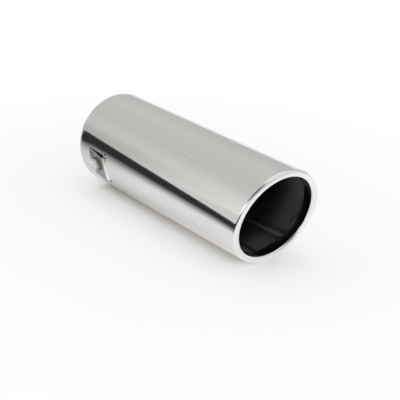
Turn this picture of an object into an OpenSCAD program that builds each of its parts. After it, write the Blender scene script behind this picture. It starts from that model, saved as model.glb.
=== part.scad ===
// Bolt-on exhaust tip: one polished sheet tube with a slanted, rolled-in mouth and two
// pressed-out seats near the inlet. A screw in each seat clamps the tip on a tailpipe.
// The tube's axis is X. The inlet plane is at X = 0, and the mouth is towards +X.
// Angles around the axis are counted from the top of the tip, where it is longest.

/* [Tube] */
// Outside diameter of the tube
tube_d = 76; // [64:1:100]
// Thickness of the sheet
sheet_t = 1.2; // [1:0.1:1.8]
// Length on the axis, from the inlet to the crest of the lip
tip_l = 218; // [140:1:300]
// Slant of the mouth from square, in degrees
slant = 18; // [0:1:25]
// Turn of the tube about its axis as it lies, in degrees
lying_turn = 13; // [-30:1:30]

/* [Lip] */
// Width of the rolled lip, from the outside of the tube inwards
lip_w = 5.4; // [4.4:0.1:7]
// Straight run of the sheet back into the tube behind the roll
return_l = 7.5; // [3:0.5:12]

/* [Seats] */
// Distance from the inlet to the fold where a seat starts
seat_x = 16; // [12:0.5:30]
// Length of a seat along the tube
seat_l = 26.5; // [24:0.5:34]
// Width of a seat at its fold
seat_w_fold = 24; // [20:0.5:28]
// Width of a seat at its high end
seat_w_high = 20; // [18:0.5:24]
// Rise of the seat's land over its length
seat_rise = 3.6; // [2:0.1:5]
// Length of the bend at the fold
fold_l = 2; // [1.5:0.5:6]
// Length of the end wall that drops back to the tube
drop_l = 4; // [2:0.1:5]
// Width of the slit along each side of a seat
slit_w = 0.5; // [0.3:0.1:1]
// Length of the relief cut at the high end of each slit
relief_l = 2; // [1:0.1:3]
// Width of the relief cut, beside its slit
relief_w = 1.6; // [0.5:0.1:3]
// Distance of the screw from the fold
screw_x = 10; // [9:0.5:14]

/* [Screws] */
// Diameter of the thread
thread_d = 6; // [5:0.5:7]
// Width of the screw's head and of the nut across their flats
hex_af = 10; // [8:0.5:11]
// Height of the screw's head
head_h = 4.5; // [3:0.1:5]
// Length of the screw under its head
screw_l = 16; // [12:0.5:20]
// Height of the nut
nut_h = 5; // [4:0.1:6]
// Radial room of the screw in its nut
thread_gap = 0.05; // [0.02:0.01:0.1]
// Radial room of the screw in the seat's hole
hole_gap = 0.25; // [0.1:0.05:0.5]

/* [Hidden] */

tube_r = tube_d/2;
bore_r = tube_r - sheet_t;
// The lip turns back on itself, so its outer roll has half its width as radius.
roll_r = lip_w/2;
roll_centre_r = tube_r - roll_r;
// The drawn tube and the rolled ring lap by this length. The ring is a little thicker.
lap_l = 2;
lap_t = 0.03;
ring_l = roll_r + 4;
ring_sides = 96;
arc_steps = 8;
// A seat's ends run this far into the wall, this deep under its surfaces.
tab_l = 1.5;
tab_depth = 0.15;
seat_cols = 12;
seat_lean = atan(seat_rise/seat_l);
land_start = sqrt(pow(tube_r, 2) - pow(seat_w_fold/2, 2));
thread_r = thread_d/2;
chamfer = 0.8;
far = 2*(tip_l + tube_d);
$fn = 96;

// Smooth step from 0 to 1
function ease(t) = let (c = min(1, max(0, t))) c*c*(3 - 2*c);
// Shift of the mouth along X at an angle from the top
function mouth_shift(angle) = tan(slant)*roll_centre_r*cos(angle);
// A circular arc around [0, 0] from one angle to another
function arc(r, from, to) = [for (i = [0:arc_steps])
    let (a = from + (to - from)*i/arc_steps) [r*cos(a), r*sin(a)]];

// Section of the rolled lip, as [distance before the crest, distance from the axis]
function lip_section() = concat(
    [[-ring_l, tube_r + lap_t]],
    [for (p = arc(roll_r, 90, -90)) [p.x - roll_r, roll_centre_r + p.y + (p.y > roll_r - 0.01 ? lap_t : 0)]],
    [[-roll_r - return_l, roll_centre_r - roll_r], [-roll_r - return_l, roll_centre_r - roll_r + sheet_t]],
    [for (p = arc(roll_r - sheet_t, -90, 90)) [p.x - roll_r, roll_centre_r + p.y - (p.y > roll_r - sheet_t - 0.01 ? lap_t : 0)]],
    [[-ring_l, bore_r - lap_t]]);

// Ring swept around the mouth from one section
module rolled_ring() {
    section = lip_section();
    m = len(section);
    points = [for (i = [0:ring_sides - 1], p = section)
        let (a = 360*i/ring_sides) [tip_l + p.x + mouth_shift(a), p.y*sin(a), p.y*cos(a)]];
    faces = [for (i = [0:ring_sides - 1], j = [0:m - 1])
        let (k = (i + 1) % ring_sides, n = (j + 1) % m)
        each [[i*m + j, k*m + n, i*m + n], [i*m + j, k*m + j, k*m + n]]];
    polyhedron(points, faces, convexity = 6);
}

// Height of the tube's surface over its axis plane, at a distance across it
function wall_v(u) = sqrt(pow(tube_r, 2) - pow(u, 2));
// Height of the seat's land at a distance from the fold
function land_v(x) = land_start + x*tan(seat_lean);
// Half width of a seat at a distance from the fold
function seat_half(x) = (seat_w_fold + (seat_w_high - seat_w_fold)*x/seat_l)/2;
// Share of the land in the seat's surface: 0 in the wall, 1 on the land
function land_share(x) = ease(x/fold_l)*(1 - ease((x - seat_l + drop_l)/drop_l));
function seat_v(x, u) = let (s = land_share(x)) (wall_v(u) - tab_depth)*(1 - s) + land_v(x)*s;
// Places along the seat where its surface bends
function seat_rows() = concat([-tab_l], [for (i = [0:5]) fold_l*i/5],
    [for (i = [0:7]) seat_l - drop_l + drop_l*i/7], [seat_l + tab_l]);

// The pressed-out strip, with X along the tube from the fold, Y across and Z outwards
module seat_strip() {
    rows = seat_rows();
    m = seat_cols + 1;
    n = len(rows)*m;
    skin = sheet_t - 2*tab_depth;
    grid = [for (x = rows, j = [0:seat_cols]) let (u = seat_half(x)*(2*j/seat_cols - 1)) [x, u, seat_v(x, u)]];
    points = concat(grid, [for (p = grid) p - [0, 0, skin + 2*tab_depth*land_share(p.x)]]);
    top = [for (i = [0:len(rows) - 2], j = [0:seat_cols - 1]) let (a = i*m + j)
        each [[a, a + 1, a + m], [a + 1, a + m + 1, a + m]]];
    bottom = [for (f = top) [f[0] + n, f[2] + n, f[1] + n]];
    sides = [for (i = [0:len(rows) - 2], e = [0, seat_cols]) let (a = i*m + e, b = a + m)
        each e == 0 ? [[a, b, b + n], [a, b + n, a + n]] : [[a, b + n, b], [a, a + n, b + n]]];
    last = (len(rows) - 1)*m;
    ends = [for (j = [0:seat_cols - 1], e = [0, last]) let (a = e + j, b = a + 1)
        each e == 0 ? [[a, b + n, b], [a, a + n, b + n]] : [[a, b, b + n], [a, b + n, a + n]]];
    polyhedron(points, concat(top, bottom, sides, ends), convexity = 6);
}

// Opening under a seat, with a slit along each side and a relief cut at each slit's high end
module seat_opening() {
    function edge(x) = seat_half(x) + slit_w;
    last = seat_l - 0.5;
    translate([0, 0, tube_r/2])
        linear_extrude(tube_r)
            union() {
                polygon([[0.5, -edge(0.5)], [last, -edge(last)], [last, edge(last)], [0.5, edge(0.5)]]);
                translate([last - relief_l, -edge(last) - relief_w])
                    square([relief_l, 2*(edge(last) + relief_w)]);
            }
}

// Frame of a seat: left is -Y, right is +Y
module at_seat(side) {
    rotate([side == "left" ? 90 : -90, 0, 0])
        translate([seat_x, 0, 0])
            children();
}

// Frame of a screw: its origin is on the land, and Z is its axis, outwards
module at_screw(side) {
    at_seat(side)
        translate([screw_x, 0, land_v(screw_x)])
            rotate([0, -seat_lean, 0])
                children();
}

// The tip as it lies, turned about its axis
module lying() {
    rotate([lying_turn, 0, 0])
        children();
}

module drawn_tube() {
    difference() {
        rotate([0, 90, 0])
            cylinder(r = tube_r, h = tip_l + tube_r);
        translate([-1, 0, 0])
            rotate([0, 90, 0])
                cylinder(r = bore_r, h = tip_l + tube_r + 2);
        translate([tip_l - ring_l + lap_l, 0, 0])
            rotate([0, atan(tan(slant)*roll_centre_r/tube_r), 0])
                translate([0, -far/2, -far/2])
                    cube(far);
        for (side = ["left", "right"])
            at_seat(side)
                seat_opening();
    }
}

module tip_tube() {
    color("gainsboro")
        lying()
            difference() {
                union() {
                    drawn_tube();
                    rolled_ring();
                    for (side = ["left", "right"])
                        at_seat(side)
                            seat_strip();
                }
                for (side = ["left", "right"])
                    at_screw(side)
                        translate([0, 0, -sheet_t - 1])
                            cylinder(r = thread_r + hole_gap, h = sheet_t + 2);
            }
}

// Hexagonal bar with its upper corners turned off
module chamfered_hex(h) {
    corner_r = hex_af/sqrt(3);
    intersection() {
        cylinder(r = corner_r, h = h, $fn = 6);
        union() {
            cylinder(r = corner_r + 1, h = h - chamfer);
            translate([0, 0, h - chamfer])
                cylinder(r1 = corner_r + 0.1, r2 = corner_r + 0.1 - chamfer*sqrt(3), h = chamfer);
        }
    }
}

module clamp_screw(side) {
    color("wheat")
        lying()
            at_screw(side)
                union() {
                    chamfered_hex(head_h);
                    translate([0, 0, chamfer - screw_l])
                        cylinder(r = thread_r, h = screw_l - chamfer + 0.1);
                    translate([0, 0, -screw_l])
                        cylinder(r1 = thread_r - chamfer, r2 = thread_r, h = chamfer);
                }
}

module weld_nut(side) {
    color("silver")
        lying()
            at_screw(side)
                translate([0, 0, -sheet_t*cos(seat_lean)])
                    mirror([0, 0, 1])
                        difference() {
                            chamfered_hex(nut_h);
                            translate([0, 0, -1])
                                cylinder(r = thread_r + thread_gap, h = nut_h + 2);
                        }
}

module left_clamp_screw() { clamp_screw("left"); }
module right_clamp_screw() { clamp_screw("right"); }
module left_weld_nut() { weld_nut("left"); }
module right_weld_nut() { weld_nut("right"); }

tip_tube();
left_clamp_screw();
right_clamp_screw();
left_weld_nut();
right_weld_nut();
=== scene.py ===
"""An exhaust tip of polished sheet steel, lying on a white table under soft studio light.

The tube's axis is X, its square-cut inlet is at X = 0 and its slanted mouth looks towards +X.
The tube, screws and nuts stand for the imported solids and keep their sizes.
"""

from math import atan, cos, pi, radians, sin, sqrt, tan

import bpy
import numpy as np
from mathutils import Matrix, Vector


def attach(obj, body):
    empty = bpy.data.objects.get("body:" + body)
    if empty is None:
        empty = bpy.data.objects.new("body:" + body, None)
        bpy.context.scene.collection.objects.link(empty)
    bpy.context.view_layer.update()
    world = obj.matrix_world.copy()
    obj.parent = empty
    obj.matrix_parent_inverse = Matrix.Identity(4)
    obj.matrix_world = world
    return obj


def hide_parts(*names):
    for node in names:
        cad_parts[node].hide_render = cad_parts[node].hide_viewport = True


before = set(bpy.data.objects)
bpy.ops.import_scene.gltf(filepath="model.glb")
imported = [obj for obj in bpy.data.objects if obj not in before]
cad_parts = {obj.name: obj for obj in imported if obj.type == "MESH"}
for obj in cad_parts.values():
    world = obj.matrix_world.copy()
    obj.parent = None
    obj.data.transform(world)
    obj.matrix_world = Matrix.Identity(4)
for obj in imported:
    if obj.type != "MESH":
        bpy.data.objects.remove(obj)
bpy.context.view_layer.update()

# ---------------------------------------------------------------- sizes, in metres
MM = 0.001
TUBE_R = 38*MM
SHEET = 1.2*MM
BORE_R = TUBE_R - SHEET
TIP_L = 218*MM
SLANT = radians(18)
TURN = radians(13)
LIP_W = 5.4*MM
RETURN_L = 7.5*MM
ROLL_R = LIP_W/2
ROLL_CENTRE_R = TUBE_R - ROLL_R

SEAT_X = 16*MM
SEAT_L = 26.5*MM
SEAT_W_FOLD = 24*MM
SEAT_W_HIGH = 20*MM
SEAT_RISE = 3.6*MM
FOLD_L = 2*MM
DROP_L = 4*MM
SLIT_W = 0.5*MM
# The slits start and end this far inside the seat's length.
SLIT_INSET = 0.5*MM
RELIEF_L = 2*MM
# The shears drag the strip's cut edges inwards by this much, halfway along the land.
EDGE_DRAG = 2.2*MM
# The outside of the sheet is rounded along the slits over this width, to this depth.
EDGE_W = 0.3*MM
EDGE_DEPTH = 0.02*MM
# The inlet's rim is rounded over this length.
RIM_L = 0.35*MM
SCREW_X = 10*MM
SEAT_LEAN = atan(SEAT_RISE/SEAT_L)
LAND_START = sqrt(TUBE_R**2 - (SEAT_W_FOLD/2)**2)

THREAD_D = 6*MM
HEX_AF = 10*MM
HEAD_H = 4.5*MM
SCREW_L = 16*MM
NUT_H = 5*MM
THREAD_GAP = 0.05*MM
PITCH = 1*MM

# The weld's ground line outside: where it is measured from, how far it runs, its angle and its winding.
WELD_X = 20.5*MM
WELD_L = 202.6*MM
WELD_ANGLE = radians(-33.9)
WELD_WIND = radians(-8.2)
# The seam inside: its angle at one place, and how far it winds in a metre.
SEAM_X = 200*MM
SEAM_ANGLE = radians(139)
SEAM_WIND = radians(48)
# A dark line along the inside of the bore, at this angle.
BORE_DARK_LINE_ANGLE = radians(176)

FLOOR_Z = -TUBE_R
TABLE_HALF = 8.0


# ---------------------------------------------------------------- node trees
class Wire:
    """A value in a node tree. Sums written on it add the tree's Math nodes."""

    def __init__(self, net, socket):
        self.net, self.socket = net, socket

    def math(self, operation, *others):
        return self.net.node("ShaderNodeMath", {"operation": operation}, (self, *others))[0]

    def __add__(self, other):
        return self.math("ADD", other)

    __radd__ = __add__

    def __sub__(self, other):
        return self.math("SUBTRACT", other)

    def __rsub__(self, other):
        return self.net.node("ShaderNodeMath", {"operation": "SUBTRACT"}, (other, self))[0]

    def __mul__(self, other):
        return self.math("MULTIPLY", other)

    __rmul__ = __mul__

    def __truediv__(self, other):
        return self.math("DIVIDE", other)

    def __rtruediv__(self, other):
        return self.net.node("ShaderNodeMath", {"operation": "DIVIDE"}, (other, self))[0]

    def clipped(self):
        return self.math("MAXIMUM", 0.0).math("MINIMUM", 1.0)

    def bell(self, sharpness):
        """1 where the value is 0, and less to both sides of it."""
        return 1/(1 + self*self*sharpness)

    def plateau(self):
        """About 1 while the value is between -1 and 1, and soon 0 beyond."""
        square = self*self
        return 1/(1 + square*square)


class Made:
    """A node that was added, whose outputs are read by number or name."""

    def __init__(self, net, node):
        self.net, self.node = net, node

    def __getitem__(self, key):
        return Wire(self.net, self.node.outputs[key])


class Net:
    """A node tree under construction."""

    def __init__(self, tree):
        self.tree = tree
        tree.nodes.clear()

    def node(self, kind, settings=None, inputs=()):
        node = self.tree.nodes.new(kind)
        for name, value in (settings or {}).items():
            setattr(node, name, value)
        pairs = inputs.items() if isinstance(inputs, dict) else enumerate(inputs)
        for key, value in pairs:
            for one in value if isinstance(value, list) else [value]:
                if isinstance(one, Wire):
                    self.tree.links.new(one.socket, node.inputs[key])
                elif one is not None:
                    node.inputs[key].default_value = one
        return Made(self, node)


def ramp(net, value, stops):
    """A scale of colours: each stop is a place on it and the colour there."""
    made = net.node("ShaderNodeValToRGB", None, (value,))
    elements = made.node.color_ramp.elements
    first, last = elements
    first.position, first.color = stops[0][0], (*stops[0][1], 1)
    last.position, last.color = stops[-1][0], (*stops[-1][1], 1)
    for place, colour in stops[1:-1]:
        elements.new(place).color = (*colour, 1)
    return made[0]


def blend(net, share, low, high):
    """The colour between low and high, by share."""
    return net.node("ShaderNodeMix", {"data_type": "RGBA"}, {0: share, 6: low, 7: high})[2]


def coordinates(net, place):
    parts = net.node("ShaderNodeSeparateXYZ", None, (place,))
    return parts[0], parts[1], parts[2]


def vector(net, x, y, z):
    return net.node("ShaderNodeCombineXYZ", None, (x, y, z))[0]


def noise(net, place, scale, detail):
    return net.node("ShaderNodeTexNoise", None, {"Vector": place, "Scale": scale, "Detail": detail})[0]


def bumped(net, strength, distance, height):
    return net.node("ShaderNodeBump", None, {
        "Strength": strength, "Distance": distance, "Height": height})["Normal"]


def material(name):
    made = bpy.data.materials.new(name)
    made.use_nodes = True
    return made, Net(made.node_tree)


def finish_with(net, shader):
    net.node("ShaderNodeOutputMaterial", None, (shader,))


# ---------------------------------------------------------------- finishes
# Painted shade inside the tube: its tone by depth behind the mouth, as a share of the length below. It
# is dark just behind the lip, lighter a little deeper in and black deep in, as the light falls off.
SHADE_DEPTH_L = 90*MM
SHADE_TONES = [(0.0, 0.035), (0.10, 0.13), (0.16, 0.19), (0.30, 0.15), (0.42, 0.05), (0.52, 0.013),
               (0.64, 0.003), (1.0, 0.001)]
# The seam's bead is lighter, with a painted highlight that fades out by this depth.
BEAD_L = 65*MM


def up_the_tip(y, z):
    """Height over the axis in the tip's own frame, before it is turned to lie."""
    return z*cos(TURN) - y*sin(TURN)


def polished_steel():
    """Mirror-polished stainless sheet, with a faint line where its weld was ground flush.

    The lands of the seats keep the duller skin that the press left on them, and the lip and the
    bends carry a painted highlight: their colour is painted brighter.
    """
    made, net = material("polished_steel")
    place = net.node("ShaderNodeTexCoord")["Object"]
    x, y, z = coordinates(net, place)
    pressed, burnished = (net.node("ShaderNodeAttribute", {"attribute_name": mark})["Fac"]
                          for mark in ("pressed", "burnished"))
    angle = y.math("ARCTAN2", z)
    weld = ((angle - (WELD_ANGLE + WELD_WIND*((x - WELD_X)/WELD_L)))*(TUBE_R/MM)).bell(6)
    cloud = noise(net, place, 55.0, 3.0)
    hair = noise(net, vector(net, x*2200, angle*14, 0.0), 1.0, 2.0)
    grit = noise(net, place, 900.0, 3.0)
    colour = blend(net, weld*0.6, (0.82, 0.814, 0.80, 1), (0.93, 0.92, 0.90, 1))
    # Painted highlight: the lip and the bends are painted a brighter colour.
    colour = blend(net, burnished, colour, (0.97, 0.97, 0.97, 1))
    colour = blend(net, pressed, colour, (0.33, 0.325, 0.31, 1))
    finish_with(net, net.node("ShaderNodeBsdfPrincipled", None, {
        "Base Color": colour, "Metallic": 1.0, "Roughness": 0.07 + cloud*0.05 + pressed*0.24,
        "Normal": bumped(net, 1.0, 0.02*MM, weld*1.2 + hair*0.02 + cloud*1.3 + grit*pressed*0.5)})[0])
    return made


def dark_bore():
    """The unpolished, dark inside of the tube, with painted shade that blackens it deep in and just
    behind the lip, and the weld's seam.
    """
    made, net = material("dark_bore")
    place = net.node("ShaderNodeTexCoord")["Object"]
    x, y, z = coordinates(net, place)
    angle = y.math("ARCTAN2", z)
    depth = TIP_L + up_the_tip(y, z)*tan(SLANT) - x
    # Painted shade by depth behind the mouth.
    scale = ramp(net, depth*(1/SHADE_DEPTH_L), [(at, (t, t, t*0.97)) for at, t in SHADE_TONES])
    seam = (angle - (SEAM_ANGLE + (SEAM_X - x)*SEAM_WIND))*(BORE_R/MM)
    bead = seam.bell(12)
    # The weld's heat left a dark line on each side of the seam.
    heat = (seam - 3.4).bell(0.9) + (seam + 3.4).bell(1.4)
    # A dark line along the bore.
    bore_dark_line = ((angle - BORE_DARK_LINE_ANGLE)*(BORE_R/MM)).bell(1.6)
    mottle = noise(net, place, 160.0, 4.0)
    # Painted shade: the lip's rolled-back return inside the bore is painted black.
    rolled_back = (BORE_R/MM - 0.9 - (y*y + z*z).math("SQRT")*(1/MM)).clipped()
    dark = (heat*0.6 + bore_dark_line*0.95 + mottle*0.35 + rolled_back).clipped()
    colour = blend(net, dark, scale, (0.002, 0.002, 0.002, 1))
    # Painted highlight on the seam's bead, fading out deeper in.
    near = (1 - depth*(1/BEAD_L)).clipped()
    colour = blend(net, bead*near, colour, (0.50, 0.49, 0.47, 1))
    finish_with(net, net.node("ShaderNodeBsdfPrincipled", None, {
        "Base Color": colour, "Metallic": 0.0, "Roughness": 0.6 + mottle*0.15, "Specular IOR Level": 0.3,
        "Normal": bumped(net, 0.6, 0.2*MM, mottle*0.3 + bead)})[0])
    return made


def plated_screw():
    """Pale yellow plating, darker towards the land and on the thread: partly tarnish, partly painted
    shade at the head's foot.
    """
    made, net = material("plated_screw")
    place = net.node("ShaderNodeTexCoord")["Object"]
    _, y, z = coordinates(net, place)
    cloud = noise(net, place, 420.0, 4.0)
    outwards = (y*cos(TURN) + z*sin(TURN)).math("ABSOLUTE")
    height = (outwards - (land_height(SCREW_X) - 0.4*MM))*(1/HEAD_H)
    # Painted shade: the plating darkens towards the land, partly tarnish and partly painted shade at the
    # head's foot.
    clean_and_unshaded = (height*1.3 + cloud*0.5 - 0.35).clipped()
    pale = blend(net, cloud, (1.0, 0.98, 0.91, 1), (0.95, 0.92, 0.84, 1))
    # Painted shade: the lower half of each head is painted duller and darker.
    upper_half = (up_the_tip(y, z)*(1/(3*MM)) + 0.6).clipped()
    pale = blend(net, upper_half, (0.72, 0.71, 0.68, 1), pale)
    tarnish_and_shade = blend(net, cloud, (0.16, 0.135, 0.10, 1), (0.30, 0.26, 0.19, 1))
    # The pale plating scatters part of the light, and the tarnished, painted-shade part doesn't.
    finish_with(net, net.node("ShaderNodeBsdfPrincipled", None, {
        "Base Color": blend(net, clean_and_unshaded, tarnish_and_shade, pale), "Metallic": 1 - clean_and_unshaded*0.65,
        "Roughness": 0.26 + cloud*0.12, "Normal": bumped(net, 0.45, 0.05*MM, cloud)})[0])
    return made


def nut_steel():
    """Bare steel of the weld nuts, dulled by the heat."""
    made, net = material("nut_steel")
    cloud = noise(net, net.node("ShaderNodeTexCoord")["Object"], 300.0, 4.0)
    finish_with(net, net.node("ShaderNodeBsdfPrincipled", None, {
        "Base Color": blend(net, cloud, (0.30, 0.29, 0.28, 1), (0.46, 0.45, 0.43, 1)),
        "Metallic": 1.0, "Roughness": 0.34 + cloud*0.2})[0])
    return made


# ---------------------------------------------------------------- the tube
# Columns of the skin between the seats and across a seat's strip.
PLAIN_STEPS = 100
STRIP_STEPS = 26
# Rows of the skin round the inlet's rim, round the lip, round its inside and its cut end, and along
# the slanted part of the wall.
RIM_ROWS = 9
LIP_ROWS = 37
LIP_INSIDE_ROWS = 17
LIP_END_ROWS = 7
SLANTED_ROWS = 33
# A relief cut is this many columns wide, beside its slit.
RELIEF_STEPS = 3
# The lip's painted highlight has this share, which sets in over its first rows.
LIP_HIGHLIGHT = 0.7
LIP_HIGHLIGHT_ROWS = 6


def ease(t):
    """Smooth step from 0 to 1."""
    t = np.clip(t, 0, 1)
    return t*t*(3 - 2*t)


def seat_half(x):
    """Half width of a seat at a distance from its fold."""
    return (SEAT_W_FOLD + (SEAT_W_HIGH - SEAT_W_FOLD)*np.clip(x, 0, SEAT_L)/SEAT_L)/2


def land_share(x):
    """Share of the land in the seat's surface: 0 in the wall, 1 on the land."""
    return ease(x/FOLD_L)*(1 - ease((x - SEAT_L + DROP_L)/DROP_L))


def land_height(x):
    return LAND_START + x*tan(SEAT_LEAN)


def columns(x):
    """Angles of the tube's columns from its longest line, at a distance from the inlet.

    The edges of the seats and of their slits each keep a column of their own.
    Returns the angles, each column's place across its seat from -1 to 1, and which seat it is on.
    """
    half = seat_half(x - SEAT_X)
    slit = np.arcsin((half + SLIT_W)/TUBE_R)
    across = np.linspace(-1, 1, STRIP_STEPS + 1)
    strip = np.arcsin(half*across/TUBE_R)
    beside = slit + EDGE_W/TUBE_R
    plain = np.concatenate([[slit - pi/2], np.linspace(beside - pi/2, pi/2 - beside, PLAIN_STEPS - 1),
                            [pi/2 - slit]])
    off = np.full(PLAIN_STEPS + 1, np.nan)
    angles = np.concatenate([plain, pi/2 + strip, plain + pi, 3*pi/2 + strip])
    place = np.concatenate([off, across, off, across])
    side = np.concatenate([off*0, across*0 + 1, off*0, across*0 - 1])
    return angles, place, side


def wall_row(x, inner):
    """One ring of the wall, with the seats pressed out of it."""
    angles, place, side = columns(x)
    r = BORE_R if inner else TUBE_R
    points = np.stack([np.full(len(angles), x), r*np.sin(angles), r*np.cos(angles)], 1)
    share = land_share(x - SEAT_X)
    if share > 0:
        on = ~np.isnan(place)
        u = place[on]*seat_half(x - SEAT_X)
        out = land_height(x - SEAT_X)
        if inner:
            along = np.clip((x - SEAT_X)/SEAT_L, 0, 1)
            out = out - SHEET - np.where(np.abs(place[on]) > 0.99, EDGE_DRAG*sin(pi*along)**0.5, 0)
        # Across a seat, u runs the way the angle grows: down on the right and up on the left.
        sign = side[on]
        land = np.stack([np.full(len(u), x), sign*out, -sign*u], 1)
        points[on] = points[on]*(1 - share) + land*share
    return points


def roll_row(angles, x, r):
    """A ring of the roll: x is its distance from the crest, wherever the slant puts that."""
    return np.stack([TIP_L + x + np.cos(angles)*tan(SLANT)*ROLL_CENTRE_R,
                     r*np.sin(angles), r*np.cos(angles)], 1)


def slanted_row(angles, start, share, r):
    """A ring between a square one and the start of the roll."""
    ending = TIP_L - ROLL_R + np.cos(angles)*tan(SLANT)*ROLL_CENTRE_R
    return np.stack([start + (ending - start)*share, r*np.sin(angles), r*np.cos(angles)], 1)


def cut_cells(square, plain):
    """The cells of the wall that the slits and the relief cuts leave open, as (row, column)."""
    m = len(plain)
    cut_end = SEAT_L - SLIT_INSET
    opened = set()
    for k in range(1, len(square) - 1):
        at = (square[k] + square[k + 1])/2 - SEAT_X
        if not SLIT_INSET < at < cut_end:
            continue
        for j in range(m):
            if plain[j] != plain[(j + 1) % m]:
                opened.add((k, j))
                if at > cut_end - RELIEF_L:
                    step = -1 if plain[j] else 1
                    opened |= {(k, (j + step*i) % m) for i in range(1, RELIEF_STEPS + 1)}
    return opened


def tube_mesh():
    """The whole drawn sheet: rim, wall, rolled lip, return and bore, as one closed skin.

    Returns its points, faces, which faces are unpolished, and how far each point is pressed or
    carries the painted highlight.
    """
    cut_end = SEAT_L - SLIT_INSET
    seat_rows = np.concatenate([
        [0], np.linspace(SLIT_INSET, FOLD_L, 9)[:-1],
        np.linspace(FOLD_L, SEAT_L - DROP_L, 16)[:-1],
        np.linspace(SEAT_L - DROP_L, cut_end - RELIEF_L, 7)[:-1],
        np.linspace(cut_end - RELIEF_L, cut_end, 10)[:-1],
        np.linspace(cut_end, SEAT_L, 4)])
    square = np.concatenate([np.linspace(RIM_L, SEAT_X, 8)[:-1], SEAT_X + seat_rows,
                             [SEAT_X + SEAT_L + 2*MM]])
    slant_from = square[-1]
    angles, place, _ = columns(slant_from)
    plain = np.isnan(place)
    m = len(plain)

    rows = []
    for a in np.linspace(-pi/2, pi/2, RIM_ROWS):
        ring = wall_row(0, False)
        ring[:, 1:] *= ((TUBE_R + BORE_R)/2 + sin(a)*(SHEET/2))/TUBE_R
        ring[:, 0] = RIM_L*(1 - cos(a))
        rows.append(ring)
    outer, inner = {}, {}
    for x in square[1:]:
        outer[x] = len(rows)
        rows.append(wall_row(x, False))
    for share in np.linspace(0, 1, SLANTED_ROWS)[1:-1]:
        rows.append(slanted_row(angles, slant_from, share, TUBE_R))
    for a in np.linspace(pi/2, -pi/2, LIP_ROWS):
        rows.append(roll_row(angles, ROLL_R*(cos(a) - 1), ROLL_CENTRE_R + ROLL_R*sin(a)))
    polished = len(rows)
    for a in np.linspace(-pi/2, pi/2, LIP_END_ROWS):
        rows.append(roll_row(angles, -ROLL_R - RETURN_L + SHEET*0.3*(1 - cos(a)),
                             TUBE_R - LIP_W + SHEET/2 + sin(a)*SHEET/2))
    for a in np.linspace(-pi/2, pi/2, LIP_INSIDE_ROWS):
        rows.append(roll_row(angles, (ROLL_R - SHEET)*cos(a) - ROLL_R,
                             ROLL_CENTRE_R + (ROLL_R - SHEET)*sin(a)))
    for share in np.linspace(1, 0, SLANTED_ROWS)[1:-1]:
        rows.append(slanted_row(angles, slant_from, share, BORE_R))
    for x in square[:0:-1]:
        inner[x] = len(rows)
        rows.append(wall_row(x, True))

    # The outside's corners beside the cuts are rounded.
    opened = cut_cells(square, plain)
    for k, j in {(k + down, (j + along) % m) for k, j in opened for down in (0, 1) for along in (0, 1)}:
        if plain[j]:
            rows[outer[square[k]]][j, 1:] *= 1 - EDGE_DEPTH/TUBE_R

    # The skin itself, which leaves out the cut cells on both sides of the sheet.
    cell_row = {outer[square[k]]: k for k in range(1, len(square))}
    cell_row.update({inner[square[k + 1]]: k for k in range(1, len(square) - 1)})
    n = len(rows)
    faces, bare = [], []
    for i in range(n):
        below = (i + 1) % n
        for j in range(m):
            if (cell_row.get(i), j) in opened:
                continue
            after = (j + 1) % m
            faces.append((i*m + j, below*m + j, below*m + after, i*m + after))
            bare.append(i >= polished)

    # The cuts' own sides, through the sheet.
    for k, j in sorted(opened):
        after = (j + 1) % m
        o, p, q, r = (row[x]*m for row, x in (
            (outer, square[k]), (outer, square[k + 1]), (inner, square[k]), (inner, square[k + 1])))
        sides = [((k, (j - 1) % m), (o + j, p + j, r + j, q + j)),
                 ((k, after), (p + after, o + after, q + after, r + after)),
                 ((k - 1, j), (o + j, q + j, q + after, o + after)),
                 ((k + 1, j), (p + after, r + after, r + j, p + j))]
        for beyond, face in sides:
            if beyond not in opened:
                faces.append(face)
                bare.append(True)

    pressed, burnished = np.zeros((n, m)), np.zeros((n, m))
    # Painted highlight round the lip.
    burnished[polished - LIP_ROWS:polished] = (
        LIP_HIGHLIGHT*np.minimum(1, np.arange(LIP_ROWS)/LIP_HIGHLIGHT_ROWS)[:, None])
    for x in square[1:]:
        share = land_share(x - SEAT_X)
        if x < SEAT_X + SEAT_L/2:
            pressed[outer[x], ~plain] = np.clip((x - SEAT_X)/SLIT_INSET, 0, 1)
        else:
            pressed[outer[x], ~plain] = np.clip(share*4 - 3, 0, 1)
            # Painted highlight along the bend down from the land.
            burnished[outer[x], ~plain] = 4*share*(1 - share)
    marks = {"pressed": pressed.ravel(), "burnished": burnished.ravel()}
    return np.concatenate(rows), faces, bare, marks


def lying(points):
    """Turned about the axis, as the tip lies."""
    x, y, z = points.T
    return np.stack([x, y*cos(TURN) - z*sin(TURN), y*sin(TURN) + z*cos(TURN)], 1)


def shown(name, mesh, finishes=()):
    piece = bpy.data.objects.new(name, mesh)
    bpy.context.scene.collection.objects.link(piece)
    for one in finishes:
        mesh.materials.append(one)
    return piece


def smoothed(mesh, sharp_from):
    """Shades a mesh smooth, apart from its edges sharper than an angle in degrees."""
    mesh.polygons.foreach_set("use_smooth", np.ones(len(mesh.polygons), bool))
    mesh.set_sharp_from_angle(angle=radians(sharp_from))


def rolled_tube(steel, bore):
    points, faces, bare, marks = tube_mesh()
    mesh = bpy.data.meshes.new("rolled_tube")
    mesh.from_pydata(lying(points).tolist(), [], faces)
    piece = shown("rolled_tube", mesh, [steel, bore])
    mesh.polygons.foreach_set("material_index", np.array(bare, np.int32))
    for mark, values in marks.items():
        mesh.attributes.new(mark, "FLOAT", "POINT").data.foreach_set("value", values)
    smoothed(mesh, 40)
    mesh.update()
    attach(piece, "root")
    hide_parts("tip_tube")
    return piece


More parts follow.
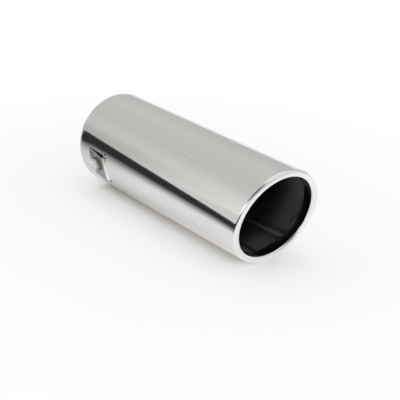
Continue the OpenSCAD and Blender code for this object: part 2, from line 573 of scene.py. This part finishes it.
# ---------------------------------------------------------------- screws and nuts
def rod(net, sides, radius, length):
    return net.node("GeometryNodeMeshCylinder", {"fill_type": "NGON"},
                    {"Vertices": sides, "Radius": radius, "Depth": length})[0]


def lifted(net, geometry, height):
    return net.node("GeometryNodeTransform", None, {
        "Geometry": geometry, "Translation": vector(net, 0.0, 0.0, height)})[0]


def hex_bar(net, across, height):
    """A hexagonal bar on the floor of its frame, with its upper corners turned off."""
    bar = lifted(net, rod(net, 6, across*(1/sqrt(3)), height), height*0.5)
    lathe = net.node("GeometryNodeMeshCone", {"fill_type": "NGON"}, {
        "Vertices": 96, "Radius Top": across*0.45, "Radius Bottom": across*0.45 + height*sqrt(3),
        "Depth": height})[0]
    return net.node("GeometryNodeMeshBoolean", {"operation": "INTERSECT", "solver": "EXACT"}, {
        "Mesh 2": [bar, lathe]})[0]


def seat_frame(net, geometry, depth):
    """Two copies of what stands on a land, one in each seat."""
    on_land = net.node("GeometryNodeTransform", None, {
        "Geometry": geometry,
        "Translation": (SCREW_X - depth*sin(SEAT_LEAN), 0, land_height(SCREW_X) + depth*cos(SEAT_LEAN)),
        "Rotation": (0, -SEAT_LEAN, 0)})[0]
    pair = net.node("GeometryNodePoints", None, {"Count": 2, "Position": (SEAT_X, 0, 0)})[0]
    count = net.node("GeometryNodeInputIndex")[0]
    return net.node("GeometryNodeInstanceOnPoints", None, {
        "Points": pair, "Instance": on_land,
        "Rotation": vector(net, count*pi + (TURN + pi/2), 0.0, 0.0)})[0]


def grown(name, sizes, build, finish, nodes):
    """A plain mesh from a geometry tree: sizes are the tree's named inputs."""
    tree = bpy.data.node_groups.new(name, "GeometryNodeTree")
    tree.interface.new_socket("Geometry", in_out="OUTPUT", socket_type="NodeSocketGeometry")
    sockets = {label: tree.interface.new_socket(
        label, in_out="INPUT", socket_type="NodeSocketFloat").identifier for label in sizes}
    net = Net(tree)
    given = net.node("NodeGroupInput")
    made = build(net, {label: given[label] for label in sizes})
    made = net.node("GeometryNodeRealizeInstances", None, (made,))[0]
    made = net.node("GeometryNodeSetMaterial", None, {"Geometry": made, "Material": finish})[0]
    net.node("NodeGroupOutput", None, (made,))
    seed = shown(name + "_tree", bpy.data.meshes.new(name + "_seed"))
    grow = seed.modifiers.new(name, "NODES")
    grow.node_group = tree
    for label, value in sizes.items():
        grow[sockets[label]] = value
    bpy.context.view_layer.update()
    mesh = bpy.data.meshes.new_from_object(
        seed.evaluated_get(bpy.context.evaluated_depsgraph_get()))
    bpy.data.objects.remove(seed)
    mesh.name = name
    piece = shown(name, mesh)
    smoothed(mesh, 28)
    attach(piece, "root")
    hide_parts(*nodes)
    return piece


def screw_tree(net, given):
    """The head, and a core with a helical thread round it."""
    head = hex_bar(net, given["Across flats"], given["Head height"])
    length, pitch = given["Length"], given["Pitch"]
    core_r = given["Thread diameter"]*0.5 - pitch*0.5
    core = lifted(net, rod(net, 48, core_r, length), length*-0.5)
    run = length - 0.6*MM
    helix = net.node("GeometryNodeCurveSpiral", None, {
        "Resolution": 36, "Rotations": run/pitch, "Start Radius": core_r, "End Radius": core_r,
        "Height": run*-1})[0]
    ridge = net.node("GeometryNodeCurvePrimitiveCircle", None, {"Resolution": 3, "Radius": pitch*0.5})[0]
    thread = net.node("GeometryNodeCurveToMesh", None, {
        "Curve": helix, "Profile Curve": ridge, "Fill Caps": True})[0]
    whole = net.node("GeometryNodeJoinGeometry", None, {"Geometry": [head, core, thread]})[0]
    return seat_frame(net, whole, 0.0)


def nut_tree(net, given):
    """A nut that hangs under the land, on the screw's axis."""
    bar = hex_bar(net, given["Across flats"], given["Height"])
    hole = rod(net, 48, given["Hole diameter"]*0.5, 0.03)
    nut = net.node("GeometryNodeMeshBoolean", {"operation": "DIFFERENCE", "solver": "EXACT"}, {
        "Mesh 1": bar, "Mesh 2": hole})[0]
    nut = net.node("GeometryNodeTransform", None, {"Geometry": nut, "Rotation": (pi, 0, 0)})[0]
    return seat_frame(net, nut, -SHEET*cos(SEAT_LEAN))


# ---------------------------------------------------------------- table, cards and light
# The line on which the tip meets the table. It stops short of both ends, as its shadow does.
CONTACT_FROM = 12*MM
CONTACT_TO = 184*MM
# The white of the table, by distance from that line in metres.
SHADOW_REACH = 0.3
SHADOW = [(0.0, 0.0), (0.013, 0.0), (0.017, 0.11), (0.020, 0.23), (0.024, 0.40), (0.028, 0.52),
          (0.038, 0.63), (0.05, 0.7), (0.12, 0.8), (SHADOW_REACH, 1.0)]

# The dark cards' upper edges and the lines where they start to fade, as (x, z) in millimetres.
LEFT_TOP = [(-78, 4), (-62, 13), (-57, 21.5), (-11, 15.3), (63, 6.4), (144, -4.3), (178, -10),
            (205, -7), (222, 2), (250, 16)]
LEFT_LOW = [(-78, -1), (-53, -7), (-38, -4), (-11, -7), (60, -13.5), (139, -20.4), (162, -24),
            (180, -26), (205, -24), (222, -14), (250, -4)]
RIGHT_TOP = [(-78, -1), (110, -3), (235, -8)]
RIGHT_LOW = [(-78, -14), (110, -16), (235, -18)]
CARD_Y = 75*MM
CARD_STATIONS = 63
# How clear a card is, by millimetres above or below its line.
CARD_FADE = [(3, 0), (0, 0.12), (-2.6, 0.25), (-8, 0.48), (-14, 0.76), (-25, 1)]

# The sky's tone by the angle round the X axis, in degrees from straight up towards +Y.
SKY_TONES = [(-180, 0.85), (-90, 0.88), (-62, 0.80), (-45, 0.68), (-28, 0.61), (-12, 0.60), (10, 0.61),
             (35, 0.64), (60, 0.58), (80, 0.56), (100, 0.57), (130, 0.68), (180, 0.8)]


def table_top():
    """A white table that keeps the tip's shadow and goes over into the white background."""
    mesh = bpy.data.meshes.new("table")
    corners = [(-1, -1), (1, -1), (1, 1), (-1, 1)]
    mesh.from_pydata([(a*TABLE_HALF, b*TABLE_HALF, FLOOR_Z) for a, b in corners], [], [(0, 1, 2, 3)])
    made, net = material("table_white")
    x, y, _ = coordinates(net, net.node("ShaderNodeTexCoord")["Object"])
    past = x - x.math("MAXIMUM", CONTACT_FROM).math("MINIMUM", CONTACT_TO)
    away = (past*past + y*y).math("SQRT")
    far = ramp(net, away*(1/SHADOW_REACH), [(d/SHADOW_REACH, (t, t, t)) for d, t in SHADOW])
    # Painted shadow: near the line of contact the table's own colour is painted warmer and darker.
    lit = net.node("ShaderNodeBsdfDiffuse", None, {
        "Color": blend(net, (far*1.8).clipped(), (0.90, 0.86, 0.78, 1), (0.95, 0.95, 0.955, 1))})[0]
    # What the tip's sides mirror of the table dims towards the back and the table's edges.
    left = ((-0.05 - y)*12).clipped()
    back = ((0.05 - x)*10).clipped()*(y*-25).clipped()*((y + 0.14)*25).clipped()
    right = ((y - 0.05)*4).clipped()
    dim = (left*0.29 + back*0.3 + right*0.13).clipped()
    rays = net.node("ShaderNodeLightPath")
    tone = blend(net, dim*rays["Is Glossy Ray"], (1, 1, 1, 1), (0, 0, 0, 1))
    white = net.node("ShaderNodeEmission", None, {"Color": tone, "Strength": 1.0})[0]
    seen = rays["Is Camera Ray"].math("MAXIMUM", rays["Is Transmission Ray"])*far
    mirrored = (far*1.6 - 0.6).math("MAXIMUM", 0.12 + (x*5).clipped()*0.48)*rays["Is Glossy Ray"]
    finish_with(net, net.node("ShaderNodeMixShader", None, (
        seen.math("MAXIMUM", mirrored), lit, white))[0])
    shown("table", mesh, [made])


def dark_card(name, y, top, low, thins_from):
    """A dark card hung beside the tube. Only reflections show it, as the dark band along the wall.

    It thins out from one place on its length to its end towards the mouth.
    """
    stations = np.linspace(top[0][0], top[-1][0], CARD_STATIONS)
    upper, lower = np.interp(stations, *zip(*top)), np.interp(stations, *zip(*low))
    points, clear = [], []
    for x, high, z in zip(stations, upper, lower):
        thinned = np.clip((x - thins_from)/(stations[-1] - thins_from), 0, 1)
        points.append((x*MM, y, high*MM))
        clear.append(thinned)
        for step, share in CARD_FADE:
            points.append((x*MM, y, min(z + step, high - 0.2)*MM))
            clear.append(share + (1 - share)*thinned)
    m = len(CARD_FADE) + 1
    faces = [(i*m + j, i*m + j + 1, i*m + m + j + 1, i*m + m + j)
             for i in range(len(stations) - 1) for j in range(m - 1)]
    mesh = bpy.data.meshes.new(name)
    mesh.from_pydata(points, [], faces)
    mesh.attributes.new("clear", "FLOAT", "POINT").data.foreach_set("value", clear)
    made, net = material(name)
    share = net.node("ShaderNodeAttribute", {"attribute_name": "clear"})["Fac"]
    black = net.node("ShaderNodeEmission", None, {"Color": (0.03, 0.03, 0.03, 1), "Strength": 1.0})[0]
    nothing = net.node("ShaderNodeBsdfTransparent")[0]
    finish_with(net, net.node("ShaderNodeMixShader", None, (share, black, nothing))[0])
    card = shown(name, mesh, [made])
    card.visible_camera = card.visible_diffuse = card.visible_shadow = card.visible_transmission = False


def studio_sky():
    """Soft light from all round, dimmer straight ahead of the mouth, and white for the camera."""
    world = bpy.data.worlds.new("studio")
    bpy.context.scene.world = world
    world.use_nodes = True
    net = Net(world.node_tree)
    x, y, z = coordinates(net, net.node("ShaderNodeTexCoord")["Generated"])
    round_x = y.math("ARCTAN2", z)
    soft = ramp(net, round_x*(1/(2*pi)) + 0.5, [
        ((a + 180)/360, (t, t*0.995, t*0.98)) for a, t in SKY_TONES])
    front = blend(net, ((x - 0.84)*(1/0.12)).clipped(), (0.73, 0.73, 0.74, 1), (0.48, 0.48, 0.49, 1))
    soft = blend(net, ((x + 0.35)*(1/0.5)).clipped(), soft, front)
    # The sky's low left side dims towards the back.
    back_left = ((-0.755 - x)*(1/0.075)).clipped()*((round_x + radians(84))*(1/radians(26))).plateau()
    soft = blend(net, back_left*0.42, soft, (0, 0, 0, 1))
    # A dark part of the room, high at the front left, that the lip shows as a thin line.
    dark = ((x*0.36 - y*0.72 + z*0.60 - 0.72)*4.2).clipped()
    dark = dark*dark*(3 - dark*2)*((z - 0.31)*7).clipped()
    soft = blend(net, dark*0.93, soft, (0.07, 0.08, 0.10, 1))
    # Two bright strips, which draw the lip's white lines.
    low_strip = ((x*0.1 - y*0.97 + z*0.20 - 0.86)*9).clipped()*((0.36 - z)*8).clipped()
    soft = blend(net, low_strip, soft, (1.25, 1.25, 1.27, 1))
    high_strip = ((z - 0.45)*4).clipped()*((y + 0.3)*4).clipped()*((0.7 - y)*4).clipped()
    soft = blend(net, high_strip*((x + 0.42)*(1/0.15)).plateau(), soft, (1.2, 1.2, 1.2, 1))
    seen = net.node("ShaderNodeLightPath")["Is Camera Ray"]
    colour = blend(net, seen, soft, (1, 1, 1, 1))
    net.node("ShaderNodeOutputWorld", None, (net.node("ShaderNodeBackground", None, (colour, 1.0))[0],))


def softbox(name, place, aim, size, power):
    """A lamp with a broad face. It doesn't show in the polished sheet, which mirrors the sky alone."""
    light = bpy.data.lights.new(name, "AREA")
    light.shape, light.size, light.size_y = "RECTANGLE", *size
    light.energy = power
    made = bpy.data.objects.new(name, light)
    bpy.context.scene.collection.objects.link(made)
    made.location = place
    made.rotation_euler = (Vector(aim) - Vector(place)).to_track_quat("-Z", "Y").to_euler()
    made.visible_glossy = False


def photo_camera():
    """The camera at the photograph's distance, angle and lens."""
    lens = bpy.data.cameras.new("camera")
    lens.lens, lens.sensor_width = 112.3, 36
    lens.clip_start, lens.clip_end = 0.01, 50
    made = bpy.data.objects.new("camera", lens)
    bpy.context.scene.collection.objects.link(made)
    right, up, back = (0.561, 0.8277, 0), (-0.2985, 0.2021, 0.9326), (0.772, -0.5233, 0.3603)
    turn = Matrix((right, up, back)).transposed().to_4x4()
    made.matrix_world = Matrix.Translation((0.8649, -0.5043, 0.3297)) @ turn
    bpy.context.scene.camera = made


# ---------------------------------------------------------------- the scene
photo_camera()
rolled_tube(polished_steel(), dark_bore())
grown("clamp_screws",
      {"Across flats": HEX_AF, "Head height": HEAD_H, "Thread diameter": THREAD_D,
       "Pitch": PITCH, "Length": SCREW_L},
      screw_tree, plated_screw(), ["left_clamp_screw", "right_clamp_screw"])
grown("weld_nuts",
      {"Across flats": HEX_AF, "Height": NUT_H, "Hole diameter": THREAD_D + 2*THREAD_GAP},
      nut_tree, nut_steel(), ["left_weld_nut", "right_weld_nut"])
table_top()
dark_card("left_card", -CARD_Y, LEFT_TOP, LEFT_LOW, 249)
dark_card("right_card", CARD_Y, RIGHT_TOP, RIGHT_LOW, 110)
studio_sky()
softbox("front_softbox", (1.15, -0.1, 0.45), (0.15, 0, 0), (0.8, 0.45), 2.5)
softbox("overhead_softbox", (0.1, -0.1, 1.3), (0.1, -0.1, 0), (1.6, 1.6), 4.0)

bpy.context.scene.view_settings.view_transform = "Standard"
